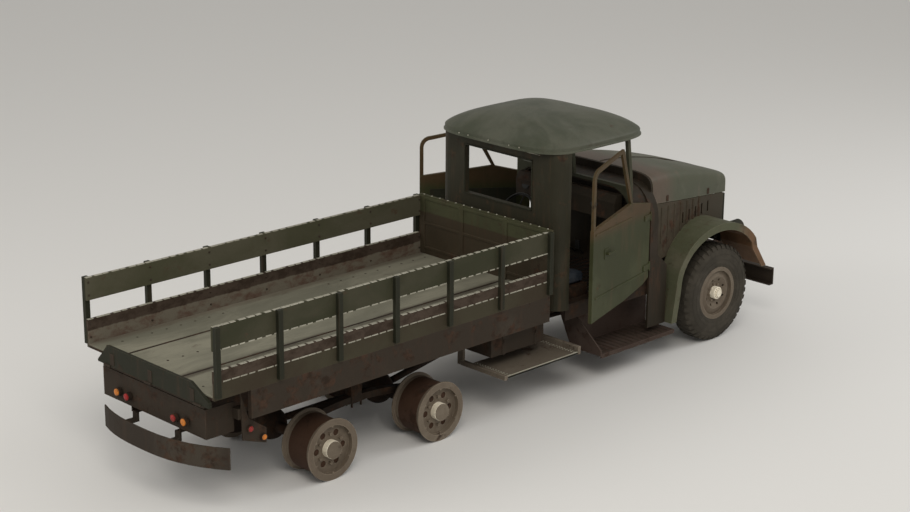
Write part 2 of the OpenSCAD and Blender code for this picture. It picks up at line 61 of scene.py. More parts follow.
CAMERA_AT = (-12.230, -14.296, 6.458)
YAW, PITCH, ROLL = math.radians(45.588), math.radians(-17.206), math.radians(0.4224)
LENS_MM = 78.41
SENSOR_MM = 36.0


def make_camera():
    forward = Vector((math.cos(PITCH) * math.cos(YAW), math.cos(PITCH) * math.sin(YAW), math.sin(PITCH)))
    right = forward.cross(Vector((0, 0, 1))).normalized()
    up = right.cross(forward)
    c, s = math.cos(ROLL), math.sin(ROLL)
    r, u = c * right + s * up, -s * right + c * up
    data = bpy.data.cameras.new("camera")
    data.sensor_width = SENSOR_MM
    data.lens = LENS_MM
    data.clip_end = 200
    cam = bpy.data.objects.new("camera", data)
    cam.matrix_world = Matrix.Translation(CAMERA_AT) @ Matrix((r, u, -forward)).transposed().to_4x4()
    bpy.context.scene.collection.objects.link(cam)
    bpy.context.scene.camera = cam


def area_light(name, at, size, power, colour=(1, 1, 1)):
    data = bpy.data.lights.new(name, "AREA")
    data.size = size
    data.energy = power
    data.color = colour
    light = bpy.data.objects.new(name, data)
    light.location = at
    light.rotation_mode = "QUATERNION"
    light.rotation_quaternion = (Vector(at) * -1).to_track_quat("-Z", "Y")
    bpy.context.scene.collection.objects.link(light)


def make_studio():
    bpy.context.scene.view_settings.view_transform = "Standard"
    world = bpy.data.worlds.new("studio")
    world.use_nodes = True
    background = world.node_tree.nodes["Background"]
    background.inputs["Color"].default_value = (1.0, 0.97, 0.92, 1)
    background.inputs["Strength"].default_value = 0.50
    bpy.context.scene.world = world
    area_light("key", (-9, -13, 15), 9, 1500, (1, 0.95, 0.88))
    area_light("side", (-15, 7, 9), 8, 600, (1, 0.97, 0.93))
    area_light("front", (15, -7, 9), 8, 600)
    make_studio_floor()


def make_studio_floor():
    bm = bmesh.new()
    far = 60
    corners = ((-far, -far), (far, -far), (far, far), (-far, far))
    bm.faces.new([bm.verts.new((x, y, GROUND - 0.001)) for x, y in corners])
    mesh = bpy.data.meshes.new("floor")
    bm.to_mesh(mesh)
    floor = bpy.data.objects.new("floor", mesh)
    bpy.context.scene.collection.objects.link(floor)
    mat = bpy.data.materials.new("studio_floor")
    mat.use_nodes = True
    shader = mat.node_tree.nodes["Principled BSDF"]
    shader.inputs["Base Color"].default_value = (0.80, 0.80, 0.79, 1)
    shader.inputs["Roughness"].default_value = 0.9
    mesh.materials.append(mat)


# ---------- materials ----------

DULL_SHINE = 0.22


class Graph:
    """Short ways to add and join shader nodes."""

    def __init__(self, name):
        self.mat = bpy.data.materials.new(name)
        self.mat.use_nodes = True
        self.tree = self.mat.node_tree
        self.shader = self.tree.nodes["Principled BSDF"]
        self.coord = self.tree.nodes.new("ShaderNodeTexCoord").outputs["Object"]

    def add(self, kind, **inputs):
        node = self.tree.nodes.new(kind)
        for key, value in inputs.items():
            socket = node.inputs[key.replace("_", " ")]
            if isinstance(value, bpy.types.NodeSocket):
                self.tree.links.new(value, socket)
            else:
                socket.default_value = value
        return node

    def stretched(self, sx, sy, sz, shift=0.0):
        node = self.add("ShaderNodeMapping", Vector=self.coord)
        node.inputs["Scale"].default_value = (sx, sy, sz)
        node.inputs["Location"].default_value = (shift, shift * 0.7, -shift)
        return node.outputs[0]

    def noise(self, scale, detail=6, rough=0.6, vector=None, distort=0.0):
        node = self.add("ShaderNodeTexNoise", Vector=vector or self.coord, Scale=scale, Detail=detail,
                        Roughness=rough, Distortion=distort)
        return node.outputs[0]

    def band(self, value, low, high):
        node = self.add("ShaderNodeMapRange", Value=value)
        node.inputs["From Min"].default_value = low
        node.inputs["From Max"].default_value = high
        node.interpolation_type = "SMOOTHSTEP"
        return node.outputs[0]

    def mix(self, factor, a, b):
        node = self.tree.nodes.new("ShaderNodeMix")
        node.data_type = "RGBA"
        for socket, value in ((node.inputs["Factor"], factor), (node.inputs[6], a), (node.inputs[7], b)):
            if isinstance(value, bpy.types.NodeSocket):
                self.tree.links.new(value, socket)
            else:
                socket.default_value = value if isinstance(value, float) else (*value, 1)
        return node.outputs[2]

    def math(self, kind, a, b=0.0):
        node = self.tree.nodes.new("ShaderNodeMath")
        node.operation = kind
        for socket, value in zip(node.inputs, (a, b)):
            if isinstance(value, bpy.types.NodeSocket):
                self.tree.links.new(value, socket)
            else:
                socket.default_value = value
        return node.outputs[0]

    def axis(self, which):
        node = self.add("ShaderNodeSeparateXYZ", Vector=self.coord)
        return node.outputs["XYZ".index(which)]

    def edge(self, radius):
        """How near a point is to an outer edge, from the bevelled normal."""
        bevel = self.tree.nodes.new("ShaderNodeBevel")
        bevel.samples = 4
        bevel.inputs["Radius"].default_value = radius
        geometry = self.tree.nodes.new("ShaderNodeNewGeometry")
        dot = self.tree.nodes.new("ShaderNodeVectorMath")
        dot.operation = "DOT_PRODUCT"
        self.tree.links.new(bevel.outputs[0], dot.inputs[0])
        self.tree.links.new(geometry.outputs["Normal"], dot.inputs[1])
        return self.band(self.math("SUBTRACT", 1.0, dot.outputs["Value"]), 0.01, 0.2)

    def finish(self, colour, rough, height, strength):
        self.tree.links.new(colour, self.shader.inputs["Base Color"])
        if isinstance(rough, bpy.types.NodeSocket):
            self.tree.links.new(rough, self.shader.inputs["Roughness"])
        else:
            self.shader.inputs["Roughness"].default_value = rough
        self.shader.inputs["Specular IOR Level"].default_value = DULL_SHINE
        bump = self.add("ShaderNodeBump", Height=height, Strength=strength, Distance=0.01)
        self.tree.links.new(bump.outputs[0], self.shader.inputs["Normal"])
        return self.mat


def worn(name, base, faded, rust, deep, amount=0.5, streak=0.4, chalk=0.5, rough=0.75, shift=0.0, zone=None):
    """Faded paint with blotches of rust, rain streaks, fine grit and worn edges.
    amount is the share of rust from 0 to 1, and chalk the share of faded paint.
    zone is an axis, the span over which another paint takes over along it, and that paint."""
    g = Graph(name)
    here = g.stretched(1, 1, 1, shift)
    blotch = g.noise(1.3, 8, 0.62, here, 0.4)
    medium = g.noise(6.0, 8, 0.65, here, 0.2)
    fine = g.noise(55.0, 4, 0.7, here)
    run = g.noise(5.0, 5, 0.6, g.stretched(2.2, 2.2, 0.28, shift + 3.0))
    colour = g.mix(g.band(blotch, 0.62 - 0.3 * chalk, 0.75 - 0.2 * chalk), base, faded)
    if zone:
        which, start, end, other = zone
        waver = g.math("MULTIPLY", g.math("SUBTRACT", medium, 0.5), 0.5 * abs(end - start))
        uneven = g.math("ADD", g.axis(which), waver)
        share = g.math("MULTIPLY", g.band(uneven, start, end), 0.85)
        colour = g.mix(share, colour, g.mix(g.band(blotch, 0.35, 0.62), other, tuple(1.3 * c for c in other)))
    colour = g.mix(g.math("MULTIPLY", g.band(medium, 0.5, 0.75), 0.5), colour, tuple(0.8 * c for c in base))
    patch = g.math("ADD", g.math("MULTIPLY", medium, 0.6), g.math("MULTIPLY", blotch, 0.4))
    edge_of_rust = 0.66 - 0.32 * amount
    rusty = g.band(patch, edge_of_rust, edge_of_rust + 0.09)
    tone = g.mix(g.band(g.noise(14.0, 6, 0.6, here), 0.35, 0.65), rust, deep)
    colour = g.mix(rusty, colour, tone)
    colour = g.mix(g.math("MULTIPLY", g.band(run, 0.52, 0.72), streak), colour, rust)
    colour = g.mix(g.math("MULTIPLY", g.band(fine, 0.5, 0.8), 0.35), colour, tuple(0.55 * c for c in rust))
    worn_edge = g.math("MULTIPLY", g.edge(0.012), g.band(medium, 0.35, 0.6))
    colour = g.mix(g.math("MULTIPLY", worn_edge, 0.7), colour, tuple(1.8 * c for c in faded))
    height = g.math("ADD", g.math("MULTIPLY", fine, 0.35), g.math("MULTIPLY", rusty, 0.5))
    roughness = g.math("ADD", rough - 0.08, g.math("MULTIPLY", rusty, 0.16))
    return g.finish(colour, roughness, height, 0.3)


RUST = (0.062, 0.031, 0.017)
DEEP = (0.026, 0.016, 0.010)
PINK = (0.150, 0.098, 0.072)
ORANGE = (0.125, 0.062, 0.030)
PALE_STEEL_AND_HIGHLIGHT = (0.26, 0.25, 0.20)


def make_materials():
    """Name, base paint, faded paint, rust, deep rust, rust share, streaks, chalkiness, roughness, shift."""
    m = {}
    rows = {
        "roof": ((0.054, 0.061, 0.040), (0.086, 0.090, 0.066), (0.085, 0.064, 0.045), RUST,
            0.20, 0.15, 0.7, 0.58, 0),
        "olive": ((0.044, 0.046, 0.027), (0.070, 0.068, 0.044), RUST, DEEP,
            0.34, 0.4, 0.5, 0.7, 5),
        "cab": ((0.025, 0.023, 0.013), (0.036, 0.034, 0.021), (0.070, 0.042, 0.022), DEEP,
            0.36, 0.5, 0.4, 0.7, 6),
        # This dark green is painted shade where the tailgate wears it, for its rear face in shadow.
        "green": ((0.017, 0.018, 0.010), (0.028, 0.028, 0.017), RUST, DEEP,
            0.26, 0.3, 0.4, 0.75, 17),
        "rusty": ((0.034, 0.025, 0.017), (0.046, 0.036, 0.026), (0.058, 0.032, 0.020), DEEP,
            0.50, 0.4, 0.35, 0.85, 23),
        "brown": ((0.023, 0.015, 0.010), (0.034, 0.025, 0.017), (0.060, 0.030, 0.016), DEEP,
            0.5, 0.4, 0.4, 0.88, 29),
        "side": ((0.044, 0.036, 0.022), (0.065, 0.051, 0.034), RUST, DEEP,
            0.42, 0.5, 0.45, 0.78, 7),
        "cowl": ((0.022, 0.017, 0.010), (0.034, 0.024, 0.016), RUST, DEEP,
            0.42, 0.5, 0.45, 0.78, 13),
        "rim": ((0.138, 0.110, 0.081), (0.193, 0.161, 0.121), (0.085, 0.052, 0.034), DEEP,
            0.30, 0.3, 0.55, 0.7, 31),
        # The hub caps' colours are painted highlights: near white, with the faded tone above full
        # reflectance, so the caps shine like glints.
        "hub": ((0.683, 0.617, 0.488), (1.008, 0.943, 0.780), (0.15, 0.10, 0.06), RUST,
            0.14, 0.1, 0.7, 0.5, 37),
        # Pale paint for real rivets and studs, and for painted highlights: the dashes along the board edges
        # and the dots along the headboard's top edge.
        "pale": (PALE_STEEL_AND_HIGHLIGHT, (0.36, 0.35, 0.29), (0.12, 0.09, 0.06), DEEP,
            0.28, 0.2, 0.6, 0.7, 41),
        "barrel": ((0.051, 0.026, 0.015), (0.065, 0.035, 0.023), (0.050, 0.022, 0.012), DEEP,
            0.42, 0.3, 0.4, 0.85, 47),
        "black": ((0.014, 0.014, 0.013), (0.030, 0.029, 0.026), (0.040, 0.028, 0.018), DEEP,
            0.16, 0.1, 0.4, 0.5, 43),
        # The tray's colour is raised above its own tone as painted light, to make up for the shade the tray
        # falls in.
        "tray": ((0.140, 0.117, 0.089), (0.203, 0.169, 0.133), (0.060, 0.032, 0.020), DEEP,
            0.35, 0.2, 0.45, 0.8, 53),
        "steps": ((0.052, 0.034, 0.026), (0.070, 0.050, 0.040), (0.055, 0.028, 0.018), DEEP,
            0.35, 0.2, 0.4, 0.85, 73),
        "bumper": ((0.031, 0.023, 0.016), (0.050, 0.040, 0.029), (0.055, 0.030, 0.018), DEEP,
            0.40, 0.3, 0.4, 0.8, 59),
    }
    for name, row in rows.items():
        m[name] = worn(name + "_finish", *row)
    m["door"] = worn("door_finish", (0.034, 0.038, 0.014), (0.050, 0.055, 0.024), (0.085, 0.052, 0.026), DEEP,
                     0.24, 0.35, 0.5, 0.66, 11, zone=("Z", 0.44, 0.60, (0.062, 0.036, 0.016)))
    m["fender"] = worn("fender_finish", (0.080, 0.084, 0.048), (0.112, 0.106, 0.070), RUST, DEEP,
                       0.30, 0.35, 0.5, 0.68, 61, zone=("X", 5.30, 5.60, ORANGE))
    m["hood"] = worn("hood_finish", (0.070, 0.075, 0.048), (0.112, 0.112, 0.080), PINK, DEEP,
                     0.26, 0.3, 0.6, 0.6, 2, zone=("X", 4.60, 4.20, (0.098, 0.070, 0.052)))
    m["boards"] = board_material("boards_finish")
    m["headboard"] = worn("headboard_finish", (0.040, 0.030, 0.017), (0.052, 0.040, 0.024), RUST, DEEP,
                          0.30, 0.3, 0.4, 0.8, 71, zone=("Z", 0.47, 0.49, (0.046, 0.050, 0.024)))
    m["deck"] = deck_material()
    m["tyre"] = tyre_material()
    m["cloth"] = cloth_material()
    m["amber"] = lens_material("amber_lens", (0.62, 0.20, 0.03))
    m["red"] = lens_material("red_lens", (0.30, 0.02, 0.02))
    m["glass"] = lens_material("lamp_glass", (0.30, 0.30, 0.28))
    return m


def board_material(name):
    """Side boards: olive slats, a brown strip along the lower board's top, dusty inner faces below it."""
    g = Graph(name)
    blotch = g.noise(1.8, 8, 0.62, g.stretched(0.7, 1, 1, 8.0), 0.4)
    medium = g.noise(9.0, 8, 0.68, g.stretched(0.6, 1, 1, 3.0), 0.2)
    fine = g.noise(60.0, 4, 0.7)
    inner = g.band(g.math("ABSOLUTE", g.axis("Y")), 0.975, 0.968)
    outside = g.mix(g.band(blotch, 0.35, 0.65), (0.034, 0.035, 0.018), (0.052, 0.049, 0.030))
    inside = g.mix(g.band(blotch, 0.35, 0.65), (0.062, 0.061, 0.034), (0.088, 0.082, 0.054))
    olive = g.mix(inner, outside, inside)
    lower = g.mix(g.band(blotch, 0.35, 0.65), (0.050, 0.044, 0.026), (0.040, 0.030, 0.018))
    dusty = g.mix(g.band(medium, 0.42, 0.62), (0.150, 0.132, 0.100), (0.110, 0.072, 0.052))
    strip = g.mix(g.band(medium, 0.40, 0.62), (0.062, 0.044, 0.032), (0.034, 0.022, 0.014))
    height = g.axis("Z")
    wavy = g.math("ADD", height, g.math("MULTIPLY", g.math("SUBTRACT", medium, 0.5), 0.05))
    colour = g.mix(inner, lower, dusty)
    colour = g.mix(g.band(wavy, 0.120, 0.132), colour, strip)
    colour = g.mix(g.band(height, 0.33, 0.34), colour, olive)
    rusty = g.math("MULTIPLY", g.band(medium, 0.60, 0.70), 0.6)
    colour = g.mix(rusty, colour, (0.072, 0.040, 0.024))
    colour = g.mix(g.math("MULTIPLY", g.band(fine, 0.5, 0.8), 0.3), colour, (0.040, 0.030, 0.020))
    grit = g.math("ADD", g.math("MULTIPLY", fine, 0.35), g.math("MULTIPLY", rusty, 0.4))
    return g.finish(colour, 0.8, grit, 0.3)


def deck_material():
    """Weathered grey planks, with a dark band along the near side and dirt along the far side."""
    g = Graph("deck_finish")
    grain = g.noise(9.0, 8, 0.65, g.stretched(0.25, 4.0, 4.0), 0.3)
    blotch = g.noise(1.6, 8, 0.65, g.stretched(0.5, 1.4, 1.0, 4.0), 0.5)
    dirt = g.noise(6.0, 8, 0.7, g.stretched(0.6, 1.3, 1.0, 9.0), 0.3)
    fine = g.noise(70.0, 4, 0.7)
    across = g.math("ADD", g.axis("Y"), g.math("MULTIPLY", g.math("SUBTRACT", dirt, 0.5), 0.10))
    near = g.math("MULTIPLY", g.band(across, -0.46, -0.40), g.band(across, -0.28, -0.36))
    far = g.band(across, 0.84, 0.93)
    colour = g.mix(g.band(blotch, 0.35, 0.65), (0.158, 0.154, 0.116), (0.235, 0.226, 0.172))
    colour = g.mix(g.math("MULTIPLY", g.band(grain, 0.5, 0.75), 0.3), colour, (0.110, 0.102, 0.072))
    colour = g.mix(g.math("MULTIPLY", g.band(dirt, 0.60, 0.72), 0.6), colour, (0.075, 0.054, 0.038))
    stain = g.math("MULTIPLY", near, g.band(blotch, 0.40, 0.55))
    colour = g.mix(g.math("MULTIPLY", stain, 0.7), colour, (0.045, 0.034, 0.024))
    colour = g.mix(g.math("MULTIPLY", far, 0.45), colour, (0.110, 0.080, 0.058))
    colour = g.mix(g.math("MULTIPLY", g.band(fine, 0.52, 0.8), 0.3), colour, (0.070, 0.058, 0.042))
    height = g.math("ADD", g.math("MULTIPLY", grain, 0.5), g.math("MULTIPLY", fine, 0.3))
    return g.finish(colour, 0.85, height, 0.3)


def tyre_material():
    g = Graph("tyre_finish")
    dust = g.noise(5.0, 8, 0.65, None, 0.4)
    fine = g.noise(80.0, 4, 0.7)
    colour = g.mix(g.band(dust, 0.35, 0.65), (0.040, 0.035, 0.027), (0.062, 0.054, 0.042))
    colour = g.mix(g.math("MULTIPLY", g.band(fine, 0.5, 0.8), 0.4), colour, (0.030, 0.027, 0.024))
    height = g.math("ADD", g.math("MULTIPLY", fine, 0.4), g.math("MULTIPLY", dust, 0.3))
    return g.finish(colour, 0.9, height, 0.4)


def cloth_material():
    g = Graph("seat_finish")
    weave = g.add("ShaderNodeTexVoronoi", Vector=g.coord, Scale=240.0).outputs["Distance"]
    worn_spots = g.noise(5.0, 8, 0.65)
    colour = g.mix(g.band(worn_spots, 0.4, 0.68), (0.022, 0.030, 0.042), (0.062, 0.072, 0.086))
    colour = g.mix(g.math("MULTIPLY", g.band(g.noise(20.0), 0.55, 0.75), 0.5), colour, (0.060, 0.044, 0.030))
    return g.finish(colour, 0.62, g.math("ADD", weave, worn_spots), 0.4)


def lens_material(name, tint):
    g = Graph(name)
    dust = g.noise(30.0, 6, 0.6)
    ribs = g.add("ShaderNodeTexWave", Vector=g.coord, Scale=60.0).outputs[0]
    colour = g.mix(g.math("MULTIPLY", g.band(dust, 0.45, 0.7), 0.6), tint, (0.10, 0.07, 0.045))
    return g.finish(colour, 0.3, ribs, 0.2)


# ---------- mesh helpers ----------

class Shape:
    """A mesh being collected from simple solids."""

    def __init__(self):
        self.bm = bmesh.new()

    def loops(self, rings, closed_ends=True, material=0):
        """A skin over closed rings of points, from the first ring to the last."""
        rows = [[self.bm.verts.new(p) for p in ring] for ring in rings]
        n = len(rows[0])
        for a, b in zip(rows, rows[1:]):
            for i in range(n):
                k = (i + 1) % n
                self.bm.faces.new((a[i], a[k], b[k], b[i])).material_index = material
        if closed_ends:
            self.bm.faces.new(rows[0][::-1]).material_index = material
            self.bm.faces.new(rows[-1]).material_index = material
        return rows

    def hoop(self, sections):
        """A closed hoop through its sections, each a closed ring of points."""
        rows = [[self.bm.verts.new(p) for p in section] for section in sections]
        n = len(rows[0])
        for a, b in zip(rows, rows[1:] + rows[:1]):
            for j in range(n):
                k = (j + 1) % n
                self.bm.faces.new((a[j], a[k], b[k], b[j]))

    def box(self, low, high, soft=0.0):
        """A block whose edges are chamfered by soft."""
        made = bmesh.ops.create_cube(self.bm, size=1)["verts"]
        size = Vector(high) - Vector(low)
        centre = (Vector(high) + Vector(low)) / 2
        for v in made:
            v.co = Vector((v.co.x * size.x, v.co.y * size.y, v.co.z * size.z)) + centre
        if soft:
            edges = list({e for v in made for e in v.link_edges})
            bmesh.ops.bevel(self.bm, geom=edges, offset=soft, segments=1, affect="EDGES")

    def rod(self, a, b, radius, sides=10, material=0, tip=None, dome=0.0):
        """A rod from a to b, with another radius at its tip and a domed end if asked."""
        a, b = Vector(a), Vector(b)
        along = (b - a).normalized()
        side = along.orthogonal().normalized()
        other = along.cross(side)

        def ring(at, r):
            return [at + r * (math.cos(t) * side + math.sin(t) * other)
                    for t in (2 * math.pi * i / sides for i in range(sides))]

        rings = [ring(a, radius), ring(b, tip or radius)]
        if dome:
            rings.append(ring(b + along * dome, 0.55 * (tip or radius)))
        self.loops(rings, material=material)

    def done(self, name, body, materials, slot=None, smooth=None, replaces=()):
        bmesh.ops.recalc_face_normals(self.bm, faces=self.bm.faces)
        mesh = bpy.data.meshes.new(name)
        self.bm.to_mesh(mesh)
        self.bm.free()
        for mat in materials:
            mesh.materials.append(mat)
        piece = bpy.data.objects.new(name, mesh)
        bpy.context.scene.collection.objects.link(piece)
        if smooth:
            mesh.shade_smooth()
            mesh.set_sharp_from_angle(angle=math.radians(smooth))
        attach(piece, body)
        if replaces:
            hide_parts(*replaces)
        return piece


def lerp(a, b, t):
    return a + (b - a) * t


def paint_node(name, mat):
    data = nodes[name].data
    data.materials.clear()
    data.materials.append(mat)


# ---------- cargo bed ----------

BOARD_Y = 0.993
BOARD_T = 0.028
FLOOR_HALF = 0.963
BAYS = 6
STAKE_W = 0.055
SEAMS = (0.48, -0.36)
BOLT_ROWS = (0.80, 0.07, -0.70)
PLANK_LOW = 1.2215
DASHES = 44


def stake_x(i):
    return lerp(0, BED_L - STAKE_W, i / BAYS)


def make_deck(m):
    """Three wide panels with dark seams between them, cross joints and rows of sunk bolts."""
    rng = random.Random(4)
    gap = 0.032
    under = Shape()
    under.box(P(0, -FLOOR_HALF, 1.200), P(BED_L, FLOOR_HALF, 1.222))
    under.done("deck_underlay", "chassis", [m["brown"]], "pale_deck")
    edges = (-FLOOR_HALF, *SEAMS[::-1], FLOOR_HALF)
    wood, bolts = Shape(), Shape()
    for y in SEAMS:
        bolts.box(P(0, y - gap / 2, PLANK_LOW), P(BED_L, y + gap / 2, FLOOR - 0.002))
    for y0, y1 in zip(edges, edges[1:]):
        low = y0 + (gap / 2 if y0 > -FLOOR_HALF else 0)
        high = y1 - (gap / 2 if y1 < FLOOR_HALF else 0)
        cuts = (0.0, rng.uniform(1.4, 1.7), rng.uniform(2.8, 3.1), BED_L)
        for x0, x1 in zip(cuts, cuts[1:]):
            top = FLOOR - rng.uniform(0, 0.002)
            wood.box(P(x0 + 0.001, low, PLANK_LOW), P(x1 - 0.001, high, top), soft=0.003)
    for y in BOLT_ROWS:
        for k in range(4 * BAYS + 1):
            x = lerp(0.10, BED_L - 0.10, k / (4 * BAYS))
            bolts.rod(P(x, y, FLOOR - 0.010), P(x, y, FLOOR - 0.0003), 0.013, 8)
    wood.done("deck_planks", "chassis", [m["deck"]], "pale_deck", replaces=("bed_floor",))
    bolts.done("deck_seams_and_bolts", "chassis", [m["brown"]], "rusty_steel")


def make_board_details(m):
    """Bolts through the boards, and pale dashes along the edges of the slats and boards, painted highlights
    where the edges catch the light.
    """
    rng = random.Random(8)
    bolts, edge_highlights = Shape(), Shape()
    for side in (1, -1):
        outer = side * (BOARD_Y + 0.042)
        inner = side * (BOARD_Y - BOARD_T)
        for i in range(BAYS + 1):
            x = stake_x(i) + STAKE_W / 2
            for z in (1.30, 1.43, 1.72, 1.85):
                bolts.rod(P(x, outer - side * 0.008, z), P(x, outer - side * 0.0005, z), 0.011, 8)
                bolts.rod(P(x, inner + side * 0.001, z), P(x, inner - side * 0.006, z), 0.011, 8, dome=0.004)
        outer_face = side * BOARD_Y
        low, high = sorted((inner, outer_face))
        # Pale dashes along the top and outer edges of the slats are painted highlights.
        for z, face in ((1.480, 0), (1.900, 0), (1.366, 1), (1.674, 1)):
            for k in range(DASHES):
                x0 = lerp(0.004, BED_L - 0.004, k / DASHES)
                x1 = x0 + rng.uniform(0.55, 0.95) * (BED_L - 0.008) / DASHES
                if face:
                    y0, y1 = sorted((outer_face, outer_face + side * 0.002))
                    edge_highlights.box(P(x0, y0, z - 0.006), P(x1, y1, z + 0.006))
                else:
                    edge_highlights.box(P(x0, low - 0.001, z - 0.004), P(x1, high + 0.001, z + 0.0015))
    bolts.done("board_bolts", "chassis", [m["rusty"]], "rusty_steel")
    edge_highlights.done("board_edge_highlights", "chassis", [m["pale"]], "olive_paint")


def make_headboard_details(m):
    head = Shape()
    x = BED_L
    for y0, y1 in ((-0.97, -0.90), (-0.36, -0.30), (0.30, 0.36), (0.90, 0.97)):
        head.box(P(x - 0.012, y0, 1.25), P(x + 0.001, y1, 1.90), soft=0.003)
    for z in (1.30, 1.58, 1.86):
        head.box(P(x - 0.009, -0.985, z), P(x + 0.001, 0.985, z + 0.03), soft=0.003)
    head.done("headboard_ribs", "chassis", [m["headboard"]], "dark_green_paint")
    # Pale dots along the headboard's top edge are painted highlights.
    dots = Shape()
    for i in range(16):
        y = lerp(-0.93, 0.93, i / 15)
        dots.rod(P(x + 0.014, y, 1.908), P(x + 0.014, y, 1.914), 0.010, 8, dome=0.003)
    dots.done("headboard_highlight_dots", "chassis", [m["pale"]], "dark_green_paint")


def make_tailgate_details(m):
    gate = Shape()
    for y in (-0.72, -0.08, 0.52):
        gate.box(P(-0.048, y - 0.03, 1.145), P(-0.041, y + 0.03, 1.26), soft=0.002)
    for y in (-0.8, -0.05, 0.6):
        gate.rod(P(-0.045, y - 0.05, 1.128), P(-0.045, y + 0.05, 1.128), 0.013, 12)
    gate.done("tailgate_straps", "tailgate", [m["rusty"]], "rusty_steel")


# ---------- wheels ----------

AXLES = {"1": 1.430, "2": 2.860}
BOGIE_X = 2.145
FRONT_X = 7.290
TYRE_R, TYRE_W = 0.565, 0.280
RIM_R = 0.311
WHEEL_Y = 0.945


def on_wheel(x, z, side, face_y):
    """Turns wheel coordinates (radial x, radial z, outwards) into the row frame."""
    origin = P(x, side * face_y, z)

    def place(r, angle, out):
        return origin + Vector((r * math.cos(angle), side * out, r * math.sin(angle)))

    return place


def make_tyre(name, body, side, m, node):
    """A cross-country tyre: a rounded carcass, staggered shoulder lugs and wall ribs."""
    w = TYRE_W / 2
    place = on_wheel(FRONT_X, TYRE_R, side, WHEEL_Y - w)
    base = TYRE_R - 0.010
    profile = [(0.291, -w + 0.045), (0.31, -w + 0.022), (0.335, -w + 0.012), (0.36, -w + 0.006),
               (0.42, -w + 0.001), (0.47, -w + 0.004), (0.51, -w + 0.016), (0.538, -w + 0.034),
               (base, -w + 0.062), (base + 0.003, -0.03)]
    profile += [(r, -y) for r, y in profile[::-1]]
    around = 96
    shape = Shape()
    shape.hoop([[place(r, 2 * math.pi * i / around, y) for r, y in profile] for i in range(around)])
    lugs = 40
    step = 2 * math.pi / lugs
    for i in range(lugs):
        for half in (-1, 1):
            t0 = (i + (0.5 if half > 0 else 0)) * step
            cross = [(TYRE_R - 0.001, 0.004), (TYRE_R - 0.001, w - 0.045), (TYRE_R - 0.022, w - 0.024),
                     (0.525, w - 0.014), (0.516, w - 0.026), (base - 0.014, w - 0.06), (base - 0.012, 0.004)]
            outline = []
            for share in (0.0, 1.0):
                ring = []
                for r, y in cross:
                    slant = 0.32 * step * (y / w)
                    grow = 0.50 + 0.10 * (y / w)
                    ring.append(place(r, t0 + slant + share * grow * step, half * y))
                outline.append(ring)
            shape.loops(outline)
    for r in (0.345, 0.395, 0.46):
        ribs = []
        for i in range(around):
            angle = 2 * math.pi * i / around
            y = w - 0.004 if r > 0.35 else w - 0.010
            ribs.append([place(r - 0.004, angle, y - 0.004), place(r - 0.002, angle, y + 0.003),
                         place(r + 0.002, angle, y + 0.003), place(r + 0.004, angle, y - 0.004)])
        shape.hoop(ribs)
    shape.done(name, body, [m["tyre"]], "tyre_rubber", 40, (node,))


def turned(place, profile, sides, shift=0.0):
    """Rings about a wheel's axle, one for each radius and outward distance in profile."""
    return [[place(r, 2 * math.pi * i / sides, shift + out) for i in range(sides)] for r, out in profile]


def make_front_wheel(m, side, word):
    make_tyre(f"lugged_tyre_{word}", f"wheel_front_{word}", side, m, f"tyre_front_{word}")
    front = Shape()
    place = on_wheel(FRONT_X, TYRE_R, side, WHEEL_Y - TYRE_W)
    inward = TYRE_W
    for i in range(8):
        angle = 2 * math.pi * i / 8 + 0.2
        front.rod(place(0.098, angle, inward - 0.072), place(0.098, angle, inward - 0.050), 0.014, 6)
    for i in range(12):
        angle = 2 * math.pi * i / 12
        front.rod(place(0.056, angle, inward - 0.012), place(0.056, angle, inward - 0.004), 0.006, 6)
    front.done(f"front_wheel_nuts_{word}", f"wheel_front_{word}", [m["rim"]], "rim_steel")
    cap = Shape()
    profile = ((0.0725, -0.075), (0.0725, -0.012), (0.066, -0.006), (0.047, -0.005), (0.047, 0.008),
               (0.040, 0.013))
    cap.loops(turned(place, profile, 32, inward))
    cap.done(f"front_hub_cap_{word}", f"wheel_front_{word}", [m["hub"]], "rim_steel", 30)


def make_rear_wheel(m, side, word, key):
    """Nuts, barrel sleeve, hub cap and brake drum of one bare twin rim."""
    hub = on_wheel(AXLES[key], RIM_R, side, WHEEL_Y)
    body = f"wheel_rear_{word}_{key}"
    nuts = Shape()
    for i in range(6):
        angle = 2 * math.pi * (i + 0.5) / 6
        nuts.rod(hub(0.150, angle, -0.054), hub(0.150, angle, -0.026), 0.016, 6)
        nuts.rod(hub(0.236, angle, -0.004), hub(0.236, angle, -0.001), 0.010, 6)
    nuts.done(f"rear_wheel_nuts_{word}_{key}", body, [m["rim"]], "rim_steel")
    sleeve = Shape()
    profile = ((0.262, -0.395), (0.2655, -0.335), (0.2785, -0.332), (0.2785, -0.064), (0.262, -0.060))
    sleeve.loops(turned(hub, profile, 64))
    sleeve.done(f"rim_barrel_{word}_{key}", body, [m["barrel"]], "rim_steel", 30)
    boss = Shape()
    profile = ((0.0905, -0.052), (0.0905, 0.012), (0.080, 0.020), (0.055, 0.0255), (0.040, 0.0258))
    boss.loops(turned(hub, profile, 32))
    boss.done(f"rear_hub_cap_{word}_{key}", body, [m["hub"]], "rim_steel", 30)
    drum = Shape()
    profile = ((0.245, -0.396), (0.245, -0.455), (0.238, -0.461), (0.10, -0.462))
    drum.loops(turned(hub, profile, 48))
    drum.done(f"brake_drum_{word}_{key}", "chassis", [m["brown"]], "brown_underbody", 30)


def make_wheels(m):
    for side, word in ((1, "left"), (-1, "right")):
        make_front_wheel(m, side, word)
        for key in AXLES:
            make_rear_wheel(m, side, word, key)


# ---------- cab roof and hood ----------

ROOF_MID, ROOF_A, ROOF_B, ROOF_K = 5.275, 0.835, 0.935, 0.46
ROOF_Z, ROOF_LIP, ROOF_TOP = 2.650, 0.046, 0.268


